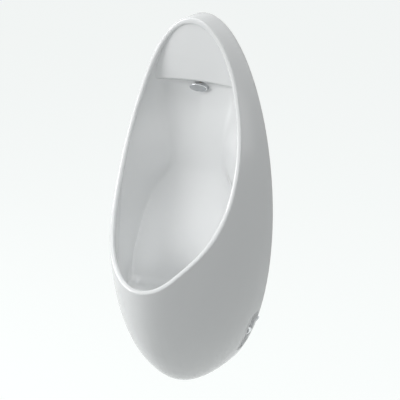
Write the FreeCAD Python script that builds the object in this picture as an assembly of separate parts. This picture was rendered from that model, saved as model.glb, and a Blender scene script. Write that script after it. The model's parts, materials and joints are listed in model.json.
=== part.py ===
import FreeCAD, Part
import math
import os

from FreeCAD import Matrix, Placement, Rotation, Vector

# Wall hung urinal. Millimetres. The wall's face is the plane Y = 0, the wall is at +Y, the user stands
# at -Y, +X is to the user's right and +Z is up. The origin is on the wall's face, on the centre line, at
# the height of the lowest point of the china.

# --- Driving dimensions -------------------------------------------------------------------------------

# The china body: an egg, longer than wide, cut off by the wall.
HEIGHT = 740.0
EGG_HALF_WIDTH = 146.2
EGG_HALF_DEPTH = 335.5
EGG_AXIS_BEHIND_WALL = 30.0     # the egg's upright axis lies inside the wall, so its poles do too
WIDTH_LOW = 0.07                # widest below the middle
DEPTH_HIGH, DEPTH_FULL = 0.0146, 0.067  # deepest above the middle; fuller at the ends
TOP_FROM, TOP_REACH = 0.55, 250.0       # near the top the sides run almost straight out from the wall
FOOT_FROM, FOOT_REACH = 0.70, 26.0      # and near the foot they do so a little
CHINA = 11.0                    # thickness of the outer wall and of the rim
BOWL_CHINA = 10.0               # thickness of the bowl's own wall behind its glaze
RIM_ROUND = 4.5

# The rim seen from the side: how far it stands from the wall at each height, lip first.
RIM_LINE = [(285.0, 279.0), (275.0, 286.0), (243.5, 319.0), (205.5, 350.0), (156.0, 400.0),
            (124.5, 450.0), (84.0, 550.0), (61.5, 650.0), (55.5, 745.0)]

# The bowl: an upright niche under a ledge, and a spill slope that runs forward from it to the drain.
FLOOR_Z = 190.0
FLOOR_R = 36.0
FLOOR_ROUND = 52.0              # height over which the bowl closes down to its floor
DRAIN_Y = -150.0
NICHE_DEPTH = 18.0              # glaze of the niche's back, from the wall
SPILL_TOP_Z = 450.0
SPILL_FOOT_DEPTH = 108.0
NICHE_SPAN = 94.0               # the side walls start to close in this far in front of the niche's back
NICHE_POWER = 2.8
SPILL_CORNER = 26.0             # reach of the hollow corner between the slope and the side walls
LEDGE_Z = 619.5                 # the ledge's underside at the centre line
LEDGE_ARCH_R = 600.0
LEDGE_ROUND = 6.0

# The forehead: a bare panel above the ledge, sunk below the rim at its foot and nearly level with it on top.
PANEL_LOW_Z, PANEL_LOW_DEPTH = 598.0, 39.5
PANEL_MID_Z, PANEL_MID_DEPTH = 664.0, 48.8
PANEL_HIGH_Z, PANEL_HIGH_DEPTH = 735.0, 52.6
BOWL_TOP_Z = 727.4
BOWL_CLOSING_Z = 690.0          # the bowl grows shallower above this
BOWL_TOP_HALF_DEPTH = 76.0
REAR_TOP_Z = 712.0              # the china is solid above this

# Flush spreader and inlet, on one axis square to the wall.
SPREADER_Z = 603.0
SPREADER_HALF_W, SPREADER_HALF_H = 18.5, 8.5
SPREADER_REACH = 12.0
SPREADER_WALL = 1.8
SPREADER_SEAT_Y = -19.0         # back of the hood's foot, on its washer
SPREADER_RECESS_Y = -17.6       # floor of the shallow seat in the china behind the washer
SPREADER_FOOT_Y = -21.0
SLOT_HALF_W = 12.0
STEM_R, STEM_BORE_R = 8.3, 4.8
STEM_NOSE_R = 6.2               # the stem's thinner front end, inside the hood's foot
STEM_FRONT_Y, STEM_END_Y = -23.0, 14.0
REAR_WASHER_Y = -8.0            # rear face of the niche's back
COUPLING_Y = 3.0
TAIL_R, TAIL_BORE_R = 7.5, 6.0
TAIL_NECK_R, TAIL_NECK_END_Y = 7.2, 22.0
TAIL_END_Y = 60.0

# Waste, trap and outlet.
COLLAR_FLANGE_R, COLLAR_R, COLLAR_BORE_R = 31.0, 23.9, 21.0
COLLAR_STEP_R = 18.0
COLLAR_FLANGE_T = 3.5
COLLAR_SEAT_Z, COLLAR_END_Z = 172.0, 163.0
DISH_R = 26.5
WASTE_SEAL_T = 1.5
BOWL_FLOOR_T = 12.0
GASKET_T, GASKET_R = 3.0, 33.0
CUP_R, CUP_WALL = 30.0, 2.5
CUP_BOTTOM_Z = 89.0
DIP_R, DIP_WALL = 16.0, 2.0
DIP_END_Z = 101.0
OUTLET_R, OUTLET_BORE_R = 19.6, 17.6
OUTLET_END_R = 20.0             # the pipe's standard end, past its cuff
OUTLET_Z = 142.0
OUTLET_FRONT_Y, OUTLET_STEP_Y, OUTLET_END_Y = -108.0, 24.0, 50.0
SPIGOT_R, SPIGOT_BORE_R = 24.0, 22.0
SPIGOT_REACH = 56.0
CUFF_Y = 2.0
STRAINER_R, STRAINER_T = 26.0, 2.0
STRAINER_HOLE_R = 2.4
SKIRT_R, SKIRT_DROP = 20.5, 8.0

# Fixings.
SCREW_R = 4.0
SHANK_R = 3.7                   # the plain part of the screw, in front of the wall
SHANK_END_Y, SCREW_END_Y = 1.0, 50.0
HANGER_X, HANGER_SCREW_Z = 30.0, 648.0
HANGER_W, HANGER_T = 32.0, 2.5
HANGER_LOW_Z, HANGER_SHELF_Z, HANGER_TOP_Z = 636.0, 664.0, 680.0
HANGER_REACH = 20.0
EAR_X, EAR_Z = 100.0, 115.0
EAR_T = 8.0
POCKET_HALF_L, POCKET_HALF_W, POCKET_FRONT = 48.0, 22.0, 29.0
POCKET_LEAN = 19.3              # the pocket follows the outline, leaning outwards by this angle

FAR = 1000.0                    # past everything


# --- Small helpers ------------------------------------------------------------------------------------

def box(low, high):
    """A box between two corners."""
    size = [high[i] - low[i] for i in range(3)]
    return Part.makeBox(size[0], size[1], size[2], Vector(*low))


def rod(radius, start, end):
    """A cylinder from one point to another."""
    a, b = Vector(*start), Vector(*end)
    return Part.makeCylinder(radius, (b - a).Length, a, b - a)


def tube(outer, inner, start, end):
    """A pipe from one point to another."""
    return rod(outer, start, end).cut(rod(inner, start, end))


def hex_prism(across_flats, start, end):
    """A hexagonal bar from one point to another."""
    a, b = Vector(*start), Vector(*end)
    corner = across_flats / math.sqrt(3.0)
    turn = Rotation(Vector(0, 0, 1), b - a)
    points = []
    for i in range(7):
        angle = math.radians(60.0 * i)
        points.append(a + turn.multVec(Vector(corner * math.cos(angle), corner * math.sin(angle), 0)))
    return Part.Face(Part.makePolygon(points)).extrude(b - a)


def revolve(profile):
    """A closed (radius, height) profile turned about the upright axis of the drain."""
    points = [Vector(r, DRAIN_Y, z) for r, z in profile]
    wire = Part.makePolygon(points + [points[0]])
    return Part.Face(wire).revolve(Vector(0, DRAIN_Y, 0), Vector(0, 0, 1), 360)


def prism_x(points, x_low, x_high):
    """A closed (y, z) outline extruded along X."""
    corners = [Vector(x_low, y, z) for y, z in points]
    face = Part.Face(Part.makePolygon(corners + [corners[0]]))
    return face.extrude(Vector(x_high - x_low, 0, 0))


def cut_all(shape, tools):
    """Cut several tools from a shape, one after another."""
    for tool in tools:
        shape = shape.cut(tool)
    return shape


def closed_by(faces):
    """The solid that a set of faces closes."""
    shell = Part.makeShell(faces)
    shell.sewShape()
    solid = Part.makeSolid(shell)
    solid.fixTolerance(1e-6)
    return solid if solid.Volume > 0 else solid.reversed()


def mirrored(shape):
    """The same piece on the other side of the centre line."""
    return shape.mirror(Vector(0, 0, 0), Vector(1, 0, 0))


def both_sides(shape):
    """A piece and its mirror image, as one group of separate solids."""
    return Part.makeCompound([shape, mirrored(shape)])


# --- The egg ------------------------------------------------------------------------------------------

def egg_axes(z, inset=0.0):
    """Half width and half depth of the egg's level section at a height."""
    pole = HEIGHT / 2.0 - inset
    cos_v = (z - HEIGHT / 2.0) / pole
    sin_v = math.sqrt(max(0.0, 1.0 - cos_v ** 2))
    cos_2v = 2.0 * cos_v ** 2 - 1.0
    half_width = (EGG_HALF_WIDTH - inset) * sin_v * (1.0 - WIDTH_LOW * cos_v)
    half_depth = (EGG_HALF_DEPTH - inset) * sin_v * (1.0 + DEPTH_HIGH * cos_v + DEPTH_FULL * cos_2v)
    half_depth += TOP_REACH * max(0.0, (cos_v - TOP_FROM) / (1.0 - TOP_FROM)) ** 2
    half_depth += FOOT_REACH * max(0.0, (-cos_v - FOOT_FROM) / (1.0 - FOOT_FROM)) ** 2
    return half_width, half_depth


def egg_side(y, z, inset=0.0):
    """Distance of the egg's side from the centre line at a depth and height."""
    half_width, half_depth = egg_axes(z, inset)
    reach = (EGG_AXIS_BEHIND_WALL - y) / half_depth
    return half_width * math.sqrt(max(0.0, 1.0 - reach ** 2))


def egg_quarter(side, inset=0.0, sections=15, first=1.0):
    """One side of the egg's skin in front of its upright axis: exact quarter ellipses up to the top ridge."""
    pole = HEIGHT / 2.0 - inset
    angles = [math.radians(first + (180.0 - first) * i / (sections - 1)) for i in range(sections)]
    # The middle rail runs up the corner of the box round each quarter ellipse.
    rails = []
    for sideways, front in ((side, 0), (side, 1), (0, 1)):
        points = []
        for angle in angles:
            z = HEIGHT / 2.0 - pole * math.cos(angle)
            half_width, half_depth = egg_axes(z, inset)
            points.append(Vector(sideways * half_width, EGG_AXIS_BEHIND_WALL - front * half_depth, z))
        rail = Part.BSplineCurve()
        rail.interpolate(Points=points, Parameters=angles)
        rails.append(rail)
    poles = [rail.getPoles() for rail in rails]
    weights = [[weight] * len(poles[0]) for weight in (1.0, math.sqrt(0.5), 1.0)]
    surface = Part.BSplineSurface()
    surface.buildFromPolesMultsKnots(poles, [3, 3], rails[0].getMultiplicities(), [0, 1],
                                     rails[0].getKnots(), False, False, 2, 3, weights)
    return surface.toShape()


def egg_solid(inset=0.0):
    """The egg in front of its upright axis, closed by flat faces at its back and its foot."""
    skins = [egg_quarter(1, inset), egg_quarter(-1, inset)]
    back_line = EGG_AXIS_BEHIND_WALL - 0.01
    edges = skins[0].Edges + skins[1].Edges
    at_back = [edge for edge in edges if edge.BoundBox.YMin > back_line and edge.BoundBox.ZLength > 1.0]
    at_foot = [edge for edge in edges if edge.BoundBox.ZMax < HEIGHT / 4.0]
    ends = [max((vertex.Point for vertex in edge.Vertexes), key=lambda point: point.y) for edge in at_foot]
    chord = Part.makeLine(ends[0], ends[1])
    foot = Part.Face(Part.Wire(Part.__sortEdges__(at_foot + [chord])))
    back = Part.Face(Part.Wire(Part.__sortEdges__(at_back + [chord])))
    return closed_by(skins + [foot, back])


# --- The bowl -----------------------------------------------------------------------------------------

def rounded_off(y, edge, span, power):
    """1 in front of the closing stretch, falling to 0 at its back edge along a rounded corner."""
    past = (y - (edge - span)) / span
    if past <= 0.0:
        return 1.0
    return max(0.0, 1.0 - past ** power) ** (1.0 / power)


def spill_depth(z):
    """How far the bowl's back stands from the wall: the niche, then the slope down to the drain."""
    share = (z - FLOOR_Z) / (SPILL_TOP_Z - FLOOR_Z)
    if share >= 1.0:
        return NICHE_DEPTH
    return NICHE_DEPTH + (SPILL_FOOT_DEPTH - NICHE_DEPTH) * (1.0 + math.cos(math.pi * share)) / 2.0


def niche_closing(z):
    """Span of the niche's closing: long behind the slope, short under the ledge, where the rim is near."""
    share = min(1.0, max(0.0, (z - 400.0) / (LEDGE_Z - 400.0)))
    return NICHE_SPAN - 40.0 * share


def bowl_axes(z):
    """Half width and half depth of the bowl: the egg inside its china, shallower towards its top."""
    half_width, half_depth = egg_axes(z, CHINA)
    share = (z - BOWL_CLOSING_Z) / (BOWL_TOP_Z - BOWL_CLOSING_Z)
    if share > 0.0:
        closing = math.sqrt(max(0.0, 1.0 - share ** 2))
        half_depth = BOWL_TOP_HALF_DEPTH + (half_depth - BOWL_TOP_HALF_DEPTH) * closing
    return half_width, half_depth


def bowl_half(y, z, back):
    """Half width of the bowl at a depth and height, for a back at the given depth."""
    half_width, half_depth = bowl_axes(z)
    reach = (EGG_AXIS_BEHIND_WALL - y) / half_depth
    side = half_width * math.sqrt(max(0.0, 1.0 - reach ** 2))
    niche = rounded_off(y, -NICHE_DEPTH, niche_closing(z), NICHE_POWER)
    corner = rounded_off(y, back, SPILL_CORNER, 2.2)
    return side * niche * corner


def section_points(z, back, half_width_at, steps=12):
    """Level outline of a hollow from its back round one side to its nose and home round the other."""
    nose = EGG_AXIS_BEHIND_WALL - bowl_axes(z)[1]
    left = []
    for i in range(steps + 1):
        y = back + (nose - back) * (1.0 - math.cos(math.pi * i / steps)) / 2.0
        left.append((-half_width_at(y, z, back), y))
    left[0] = (0.0, back)
    left[-1] = (0.0, nose)
    right = [(-x, y) for x, y in reversed(left[1:-1])]
    return left + right


def towards_floor(points, z):
    """Draw a bowl section in towards the round floor as it nears it."""
    low = min(1.0, max(0.0, (FLOOR_Z + FLOOR_ROUND - z) / FLOOR_ROUND))
    share = 1.0 - math.sqrt(max(0.0, 1.0 - low ** 2))
    drawn = []
    count = len(points)
    for i, (x, y) in enumerate(points):
        angle = 2.0 * math.pi * i / count
        floor_x = -FLOOR_R * math.sin(angle)
        floor_y = DRAIN_Y + FLOOR_R * math.cos(angle)
        drawn.append((x + (floor_x - x) * share, y + (floor_y - y) * share))
    return drawn


def grown(points, by):
    """Move each point of a closed outline outwards, square to the outline."""
    out = []
    count = len(points)
    for i in range(count):
        before, after = points[i - 1], points[(i + 1) % count]
        along = Vector(after[0] - before[0], after[1] - before[1], 0)
        along.normalize()
        out.append((points[i][0] + along.y * by, points[i][1] - along.x * by))
    return out


def bowl_heights():
    """Heights of the bowl's level sections: closer together at the floor and under the closed top."""
    pole = HEIGHT / 2.0 - CHINA
    low = [FLOOR_Z + FLOOR_ROUND * (1.0 - math.cos(math.radians(18.0 * i))) for i in range(5)]
    first = math.acos((HEIGHT / 2.0 - FLOOR_Z - FLOOR_ROUND) / pole)
    last = math.acos((HEIGHT / 2.0 - BOWL_CLOSING_Z) / pole)
    middle = [HEIGHT / 2.0 - pole * math.cos(first + (last - first) * i / 11.0) for i in range(12)]
    rise = BOWL_TOP_Z - BOWL_CLOSING_Z
    return low + middle + [BOWL_CLOSING_Z + rise * math.sin(math.radians(22.5 * i)) for i in range(1, 5)]


def skin_through(sections):
    """A smooth skin through closed level outlines that all have the same number of points."""
    steps = [float(i) for i in range(len(sections[0]) + 1)]
    rows = []
    for points in sections:
        ring = Part.BSplineCurve()
        ring.interpolate(Points=points, Parameters=steps, PeriodicFlag=True)
        rows.append(ring.getPoles())
    stations = [0.0]
    for lower, upper in zip(rows, rows[1:]):
        gaps = [(b - a).Length for a, b in zip(lower, upper)]
        stations.append(stations[-1] + sum(gaps) / len(gaps))
    columns = []
    for j in range(len(rows[0])):
        rail = Part.BSplineCurve()
        rail.interpolate(Points=[row[j] for row in rows], Parameters=stations)
        columns.append(rail.getPoles())
    surface = Part.BSplineSurface()
    surface.buildFromPolesMultsKnots(columns, ring.getMultiplicities(), rail.getMultiplicities(),
                                     ring.getKnots(), rail.getKnots(), True, False, 3, 3)
    return surface.toShape()


def bowl_solid(grow=0.0):
    """The hollow of the bowl, niche and forehead. With grow it is that hollow with its china round it."""
    sections = []
    for z in bowl_heights():
        points = towards_floor(section_points(z, -spill_depth(z), bowl_half), z)
        drop = grow * 1.2 * min(1.0, max(0.0, (FLOOR_Z + 80.0 - z) / 80.0))
        sections.append([Vector(x, y, z - drop) for x, y in (grown(points, grow) if grow else points)])
    skin = skin_through(sections)
    ends = [edge for edge in skin.Edges if edge.BoundBox.ZLength < 0.01]
    return closed_by([skin] + [Part.Face(Part.Wire(edge)) for edge in ends])


def forehead_block(shrink=0.0):
    """The china that fills the top of the hollow: above the arch of the ledge, behind the panel."""
    left, top = -EGG_HALF_WIDTH, HEIGHT + 40.0
    low = Vector(left, shrink - PANEL_LOW_DEPTH, PANEL_LOW_Z)
    middle = Vector(left, shrink - PANEL_MID_DEPTH, PANEL_MID_Z)
    high = Vector(left, shrink - PANEL_HIGH_DEPTH, PANEL_HIGH_Z)
    behind = [high, Vector(left, high.y, top), Vector(left, 0, top), Vector(left, 0, PANEL_LOW_Z), low]
    outline = Part.Wire([Part.Arc(low, middle, high).toShape()] + Part.makePolygon(behind).Edges)
    block = Part.Face(outline).extrude(Vector(2.0 * EGG_HALF_WIDTH, 0, 0))
    arch_z = LEDGE_Z - LEDGE_ARCH_R
    block = block.cut(rod(LEDGE_ARCH_R + shrink, (0, -FAR, arch_z), (0, FAR, arch_z)))
    if shrink:
        return block
    # The long edge where the arch meets the panel is rounded.
    edges = [edge for edge in block.Edges if edge.BoundBox.YMax < -30.0 and edge.BoundBox.ZMax < LEDGE_Z + 1.0]
    edges = [edge for edge in edges if edge.BoundBox.XLength > EGG_HALF_WIDTH]
    return block.makeFillet(LEDGE_ROUND, edges)


def in_front_of_rim():
    """All that lies in front of the rim's line, which is cut away from the egg."""
    curve = Part.BSplineCurve()
    curve.interpolate([Vector(-FAR / 2.0, -depth, z) for depth, z in RIM_LINE])
    first, last = curve.StartPoint, curve.EndPoint
    corner_low = Vector(first.x, -FAR, first.z)
    corner_high = Vector(first.x, -FAR, last.z)
    edges = [curve.toShape(), Part.makeLine(last, corner_high), Part.makeLine(corner_high, corner_low),
             Part.makeLine(corner_low, first)]
    return Part.Face(Part.Wire(edges)).extrude(Vector(FAR, 0, 0))


# --- The china body -----------------------------------------------------------------------------------

def pocket_prism(margin, y_front, y_back):
    """An oval bar square to the wall, centred on the outline where the lower fixing ear is."""
    centre_x = egg_side(0.0, EAR_Z - 3.0)
    ellipse = Part.Ellipse(Vector(0, 0, 0), POCKET_HALF_L + margin, POCKET_HALF_W + margin)
    bar = Part.Face(Part.Wire(ellipse.toShape())).extrude(Vector(0, 0, y_back - y_front))
    # The ellipse's long axis goes from X to a leaning Z, and its normal from Z to +Y.
    lean = math.radians(POCKET_LEAN)
    long_way = Vector(math.sin(lean), 0, math.cos(lean))
    wall_way = Vector(0, 1, 0)
    across = wall_way.cross(long_way)
    place = Matrix(long_way.x, across.x, wall_way.x, centre_x,
                   long_way.y, across.y, wall_way.y, y_front,
                   long_way.z, across.z, wall_way.z, EAR_Z - 3.0,
                   0, 0, 0, 1)
    bar.Placement = Placement(place)
    return bar


def hanging_rib():
    """The china rib across the top of the rear hollow, with a lip that hooks down behind the hangers."""
    outline = [(-45.0, 691.0), (-45.0, 681.0), (-14.0, 681.0), (-14.0, 668.0), (-9.0, 668.0), (-9.0, 691.0)]
    return prism_x(outline, -90.0, 90.0)


def make_rear_hollow():
    """The space behind the china, open to the wall: round the bowl, its forehead, the rib and the ears."""
    rear = egg_solid(CHINA).common(box((-FAR, -FAR, -FAR), (FAR, 0, REAR_TOP_Z)))
    round_bowl = bowl_solid(BOWL_CHINA).cut(forehead_block(BOWL_CHINA))
    rear = cut_all(rear, [round_bowl, hanging_rib()])
    rear = cut_all(rear, both_sides(pocket_prism(8.0, -POCKET_FRONT - 9.0, 0.0)).Solids)
    return max(rear.Solids, key=lambda solid: solid.Volume)


def make_ceramic_body():
    """Egg, less the front and the bowl, its rim rounded, with its forehead, hollow back, ears and holes."""
    body = egg_solid().common(box((-FAR, -FAR, -FAR), (FAR, 0, FAR)))
    body = cut_all(body, [in_front_of_rim(), bowl_solid()]).Solids[0]
    body = body.makeFillet(RIM_ROUND, rim_edges(body))
    body = body.fuse(forehead_block().common(egg_solid(CHINA / 2.0)))
    body = body.cut(make_rear_hollow())
    body = cut_all(body, both_sides(pocket_prism(0.0, -POCKET_FRONT, -EAR_T)).Solids)

    recess_z = FLOOR_Z - COLLAR_FLANGE_T - WASTE_SEAL_T
    holes = [rod(STEM_R + 0.7, (0, -60, SPREADER_Z), (0, 10, SPREADER_Z)),
             spreader_oval(1.5, -30.0, SPREADER_RECESS_Y),
             rod(16.0, (0, REAR_WASHER_Y, SPREADER_Z), (0, 1, SPREADER_Z)),
             rod(COLLAR_R + 1.6, (0, DRAIN_Y, FLOOR_Z - 40), (0, DRAIN_Y, FLOOR_Z + 5)),
             rod(COLLAR_FLANGE_R + 1.0, (0, DRAIN_Y, recess_z), (0, DRAIN_Y, FLOOR_Z + 5))]
    for side in (-1.0, 1.0):
        holes.append(rod(SCREW_R + 1.2, (side * EAR_X, -30, EAR_Z), (side * EAR_X, 10, EAR_Z)))
    return cut_all(body, holes)


def rim_edges(body):
    """The edges of the long face that the rim's line leaves."""
    for face in body.Faces:
        if face.Surface.TypeId == "Part::GeomSurfaceOfExtrusion":
            return face.Edges
    return []


def spreader_oval(margin, y_front, y_back):
    """An oval plate square to the wall on the spreader's axis."""
    ellipse = Part.Ellipse(Vector(0, 0, 0), SPREADER_HALF_W + margin, SPREADER_HALF_H + margin)
    plate = Part.Face(Part.Wire(ellipse.toShape())).extrude(Vector(0, 0, y_back - y_front))
    plate.Placement = Placement(Vector(0, y_back, SPREADER_Z), Rotation(Vector(1, 0, 0), 90))
    return plate


# --- Spreader and inlet -------------------------------------------------------------------------------

def on_spreader_axis(outer, inner, y_front, y_back):
    """A ring about the spreader's axis."""
    return tube(outer, inner, (0, y_front, SPREADER_Z), (0, y_back, SPREADER_Z))


def nut_on_spreader_axis(across_flats, bore, y_front, y_back):
    """A hexagon nut about the spreader's axis."""
    nut = hex_prism(across_flats, (0, y_front, SPREADER_Z), (0, y_back, SPREADER_Z))
    return nut.cut(rod(bore, (0, y_front - 1, SPREADER_Z), (0, y_back + 1, SPREADER_Z)))


def spreader_swelling(inset):
    """The hood in front of its foot: round seen from above, round-nosed seen from the side."""
    half_w, half_h = SPREADER_HALF_W - inset, SPREADER_HALF_H - inset
    reach = SPREADER_REACH - inset
    plan_r = (half_w ** 2 + reach ** 2) / (2.0 * reach)
    centre_y = SPREADER_FOOT_Y - reach + plan_r
    from_above = rod(plan_r, (0, centre_y, SPREADER_Z - half_h), (0, centre_y, SPREADER_Z + half_h))
    nose_y = SPREADER_FOOT_Y - reach + half_h
    from_side = rod(half_h, (-half_w, nose_y, SPREADER_Z), (half_w, nose_y, SPREADER_Z))
    from_side = from_side.fuse(box((-half_w, nose_y, SPREADER_Z - half_h), (half_w, 0, SPREADER_Z + half_h)))
    return from_above.common(from_side).common(box((-FAR, -FAR, -FAR), (FAR, SPREADER_FOOT_Y, FAR)))


def make_spreader_cap():
    """The chromed hood: hollow, on an oval foot, with a slot below that fans the water out."""
    foot = spreader_oval(0.0, SPREADER_FOOT_Y, SPREADER_SEAT_Y)
    cap = spreader_swelling(0.0).common(spreader_oval(0.0, -FAR / 10.0, SPREADER_FOOT_Y)).fuse(foot)
    cap = cap.cut(spreader_swelling(SPREADER_WALL).common(rod(STEM_R, (0, -FAR, SPREADER_Z), (0, 0, SPREADER_Z))))
    cap = cap.cut(rod(STEM_NOSE_R, (0, SPREADER_FOOT_Y - 1, SPREADER_Z), (0, SPREADER_SEAT_Y + 1, SPREADER_Z)))
    slot = box((-SLOT_HALF_W, SPREADER_FOOT_Y - 7.0, SPREADER_Z - 20.0),
               (SLOT_HALF_W, SPREADER_FOOT_Y - 3.0, SPREADER_Z - 2.0))
    return cap.cut(slot)


def make_spreader_front_washer():
    """The soft washer between the hood and the glaze."""
    washer = spreader_oval(-0.7, SPREADER_SEAT_Y, SPREADER_RECESS_Y)
    return washer.cut(rod(STEM_NOSE_R, (0, SPREADER_SEAT_Y - 1, SPREADER_Z), (0, 0, SPREADER_Z)))


def make_spreader_stem():
    """The threaded stem that carries the water through the china."""
    nose = on_spreader_axis(STEM_NOSE_R, STEM_BORE_R, STEM_FRONT_Y, SPREADER_RECESS_Y)
    return nose.fuse(on_spreader_axis(STEM_R, STEM_BORE_R, SPREADER_RECESS_Y, STEM_END_Y))


def make_inlet_coupling_nut():
    """The nut that holds the pipe against the stem: wide over the thread, narrow behind the pipe's collar."""
    nut = hex_prism(27.0, (0, COUPLING_Y, SPREADER_Z), (0, STEM_END_Y + 6.0, SPREADER_Z))
    nut = nut.cut(rod(STEM_R, (0, COUPLING_Y - 1, SPREADER_Z), (0, STEM_END_Y + 5.0, SPREADER_Z)))
    return nut.cut(rod(TAIL_R + 0.4, (0, STEM_END_Y, SPREADER_Z), (0, STEM_END_Y + 7, SPREADER_Z)))


def make_inlet_cone_seal():
    """The rubber ring between the stem's end and the pipe's collar."""
    return on_spreader_axis(STEM_R, TAIL_BORE_R, STEM_END_Y, STEM_END_Y + 3.0)


def make_inlet_tail_pipe():
    """The short pipe into the wall, with a collar for its nut to pull on."""
    pipe = rod(TAIL_NECK_R, (0, STEM_END_Y + 3.0, SPREADER_Z), (0, TAIL_NECK_END_Y, SPREADER_Z))
    pipe = pipe.fuse(rod(TAIL_R, (0, TAIL_NECK_END_Y, SPREADER_Z), (0, TAIL_END_Y, SPREADER_Z)))
    collar = rod(STEM_R, (0, STEM_END_Y + 3.0, SPREADER_Z), (0, STEM_END_Y + 5.0, SPREADER_Z))
    bore = rod(TAIL_BORE_R, (0, STEM_END_Y, SPREADER_Z), (0, TAIL_END_Y + 1, SPREADER_Z))
    return pipe.fuse(collar).cut(bore)


# --- Waste, trap and outlet ---------------------------------------------------------------------------

def make_waste_top_seal():
    """The flat rubber ring under the waste collar's flange."""
    low = FLOOR_Z - COLLAR_FLANGE_T - WASTE_SEAL_T
    return revolve([(COLLAR_R, low), (COLLAR_FLANGE_R, low),
                    (COLLAR_FLANGE_R, low + WASTE_SEAL_T), (COLLAR_R, low + WASTE_SEAL_T)])


def make_waste_collar():
    """The chromed collar in the floor: a dished flange, a threaded barrel and a seat for the insert."""
    low = FLOOR_Z - COLLAR_FLANGE_T
    return revolve([(COLLAR_R, low), (COLLAR_FLANGE_R, low), (COLLAR_FLANGE_R, FLOOR_Z),
                    (DISH_R, FLOOR_Z), (DISH_R, FLOOR_Z - STRAINER_T), (COLLAR_BORE_R, FLOOR_Z - STRAINER_T),
                    (COLLAR_BORE_R, COLLAR_SEAT_Z), (COLLAR_STEP_R, COLLAR_SEAT_Z),
                    (COLLAR_STEP_R, COLLAR_SEAT_Z - 3.0), (COLLAR_BORE_R, COLLAR_SEAT_Z - 5.0),
                    (COLLAR_BORE_R, COLLAR_END_Z), (COLLAR_R, COLLAR_END_Z)])


def make_trap_gasket():
    """The thick rubber ring between the trap and the underside of the bowl."""
    top = FLOOR_Z - BOWL_FLOOR_T
    return revolve([(COLLAR_R + 1.6, top - GASKET_T), (GASKET_R, top - GASKET_T), (GASKET_R, top),
                    (COLLAR_R + 1.6, top)])


def make_trap_cup():
    """The trap's body: it screws onto the collar, holds the standing water and has the outlet spigot."""
    top = FLOOR_Z - BOWL_FLOOR_T - GASKET_T
    bend = 12.0
    outer = [(0.0, CUP_BOTTOM_Z), (CUP_R - bend, CUP_BOTTOM_Z), (CUP_R - 0.29 * bend, CUP_BOTTOM_Z + 0.29 * bend),
             (CUP_R, CUP_BOTTOM_Z + bend), (CUP_R, top - 5.0), (GASKET_R, top - 5.0), (GASKET_R, top), (0.0, top)]
    inner_r = CUP_R - CUP_WALL
    floor = CUP_BOTTOM_Z + CUP_WALL
    bend = bend - CUP_WALL
    inner = [(0.0, floor), (inner_r - bend, floor), (inner_r - 0.29 * bend, floor + 0.29 * bend),
             (inner_r, floor + bend), (inner_r, top - 6.0), (COLLAR_R, top - 6.0), (COLLAR_R, top + 1.0),
             (0.0, top + 1.0)]
    spigot_end = DRAIN_Y + SPIGOT_REACH
    spigot = rod(SPIGOT_R, (0, DRAIN_Y, OUTLET_Z), (0, spigot_end, OUTLET_Z))
    bore = rod(SPIGOT_BORE_R, (0, DRAIN_Y, OUTLET_Z), (0, spigot_end + 1, OUTLET_Z))
    return revolve(outer).fuse(spigot).cut(revolve(inner)).cut(bore)


def make_trap_insert():
    """The dip tube that lifts out of the trap for cleaning: it turns the water down under itself."""
    top = COLLAR_SEAT_Z + 2.0
    inner = DIP_R - DIP_WALL
    return revolve([(inner, DIP_END_Z), (DIP_R, DIP_END_Z), (DIP_R, COLLAR_SEAT_Z),
                    (COLLAR_BORE_R - 0.4, COLLAR_SEAT_Z), (COLLAR_BORE_R - 0.4, top), (inner, top)])


def make_trap_insert_seal():
    """The ring that closes the gap between the dip tube and the collar's seat."""
    high, low = COLLAR_SEAT_Z - 0.5, COLLAR_SEAT_Z - 2.5
    return revolve([(DIP_R, low), (DIP_R + 1.1, low), (DIP_R + 1.7, low + 1.0), (DIP_R + 1.1, high),
                    (DIP_R, high)])


def make_strainer():
    """The loose grating over the drain, located by a short skirt."""
    low = FLOOR_Z - STRAINER_T
    plate = revolve([(0, low), (STRAINER_R, low), (STRAINER_R, FLOOR_Z), (0, FLOOR_Z)])
    skirt = revolve([(SKIRT_R - 1.5, low - SKIRT_DROP), (SKIRT_R, low - SKIRT_DROP), (SKIRT_R, low),
                     (SKIRT_R - 1.5, low)])
    plate = plate.fuse(skirt)
    for ring_r, count in ((0.0, 1), (7.5, 6), (15.0, 12)):
        for i in range(count):
            angle = 2.0 * math.pi * i / count
            x, y = ring_r * math.sin(angle), DRAIN_Y + ring_r * math.cos(angle)
            plate = plate.cut(rod(STRAINER_HOLE_R, (x, y, low - 1), (x, y, FLOOR_Z + 1)))
    return plate


def on_outlet_axis(outer, inner, y_front, y_back):
    """A ring about the outlet's axis."""
    return tube(outer, inner, (0, y_front, OUTLET_Z), (0, y_back, OUTLET_Z))


def make_outlet_slip_nut():
    """The nut that closes the spigot's socket on the pipe."""
    end = DRAIN_Y + SPIGOT_REACH
    nut = on_outlet_axis(SPIGOT_R + 3.5, SPIGOT_R, end - 12.0, end)
    return nut.fuse(on_outlet_axis(SPIGOT_R + 3.5, OUTLET_R + 0.4, end, end + 5.0))


def make_outlet_slip_seal():
    """The rubber ring squeezed between the spigot's end, the nut and the pipe."""
    end = DRAIN_Y + SPIGOT_REACH
    return on_outlet_axis(SPIGOT_BORE_R, OUTLET_R, end - 3.0, end)


def make_outlet_pipe():
    """The pipe that carries the waste into the wall."""
    pipe = on_outlet_axis(OUTLET_R, OUTLET_BORE_R, OUTLET_FRONT_Y, OUTLET_STEP_Y)
    return pipe.fuse(on_outlet_axis(OUTLET_END_R, OUTLET_BORE_R, OUTLET_STEP_Y, OUTLET_END_Y))


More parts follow.
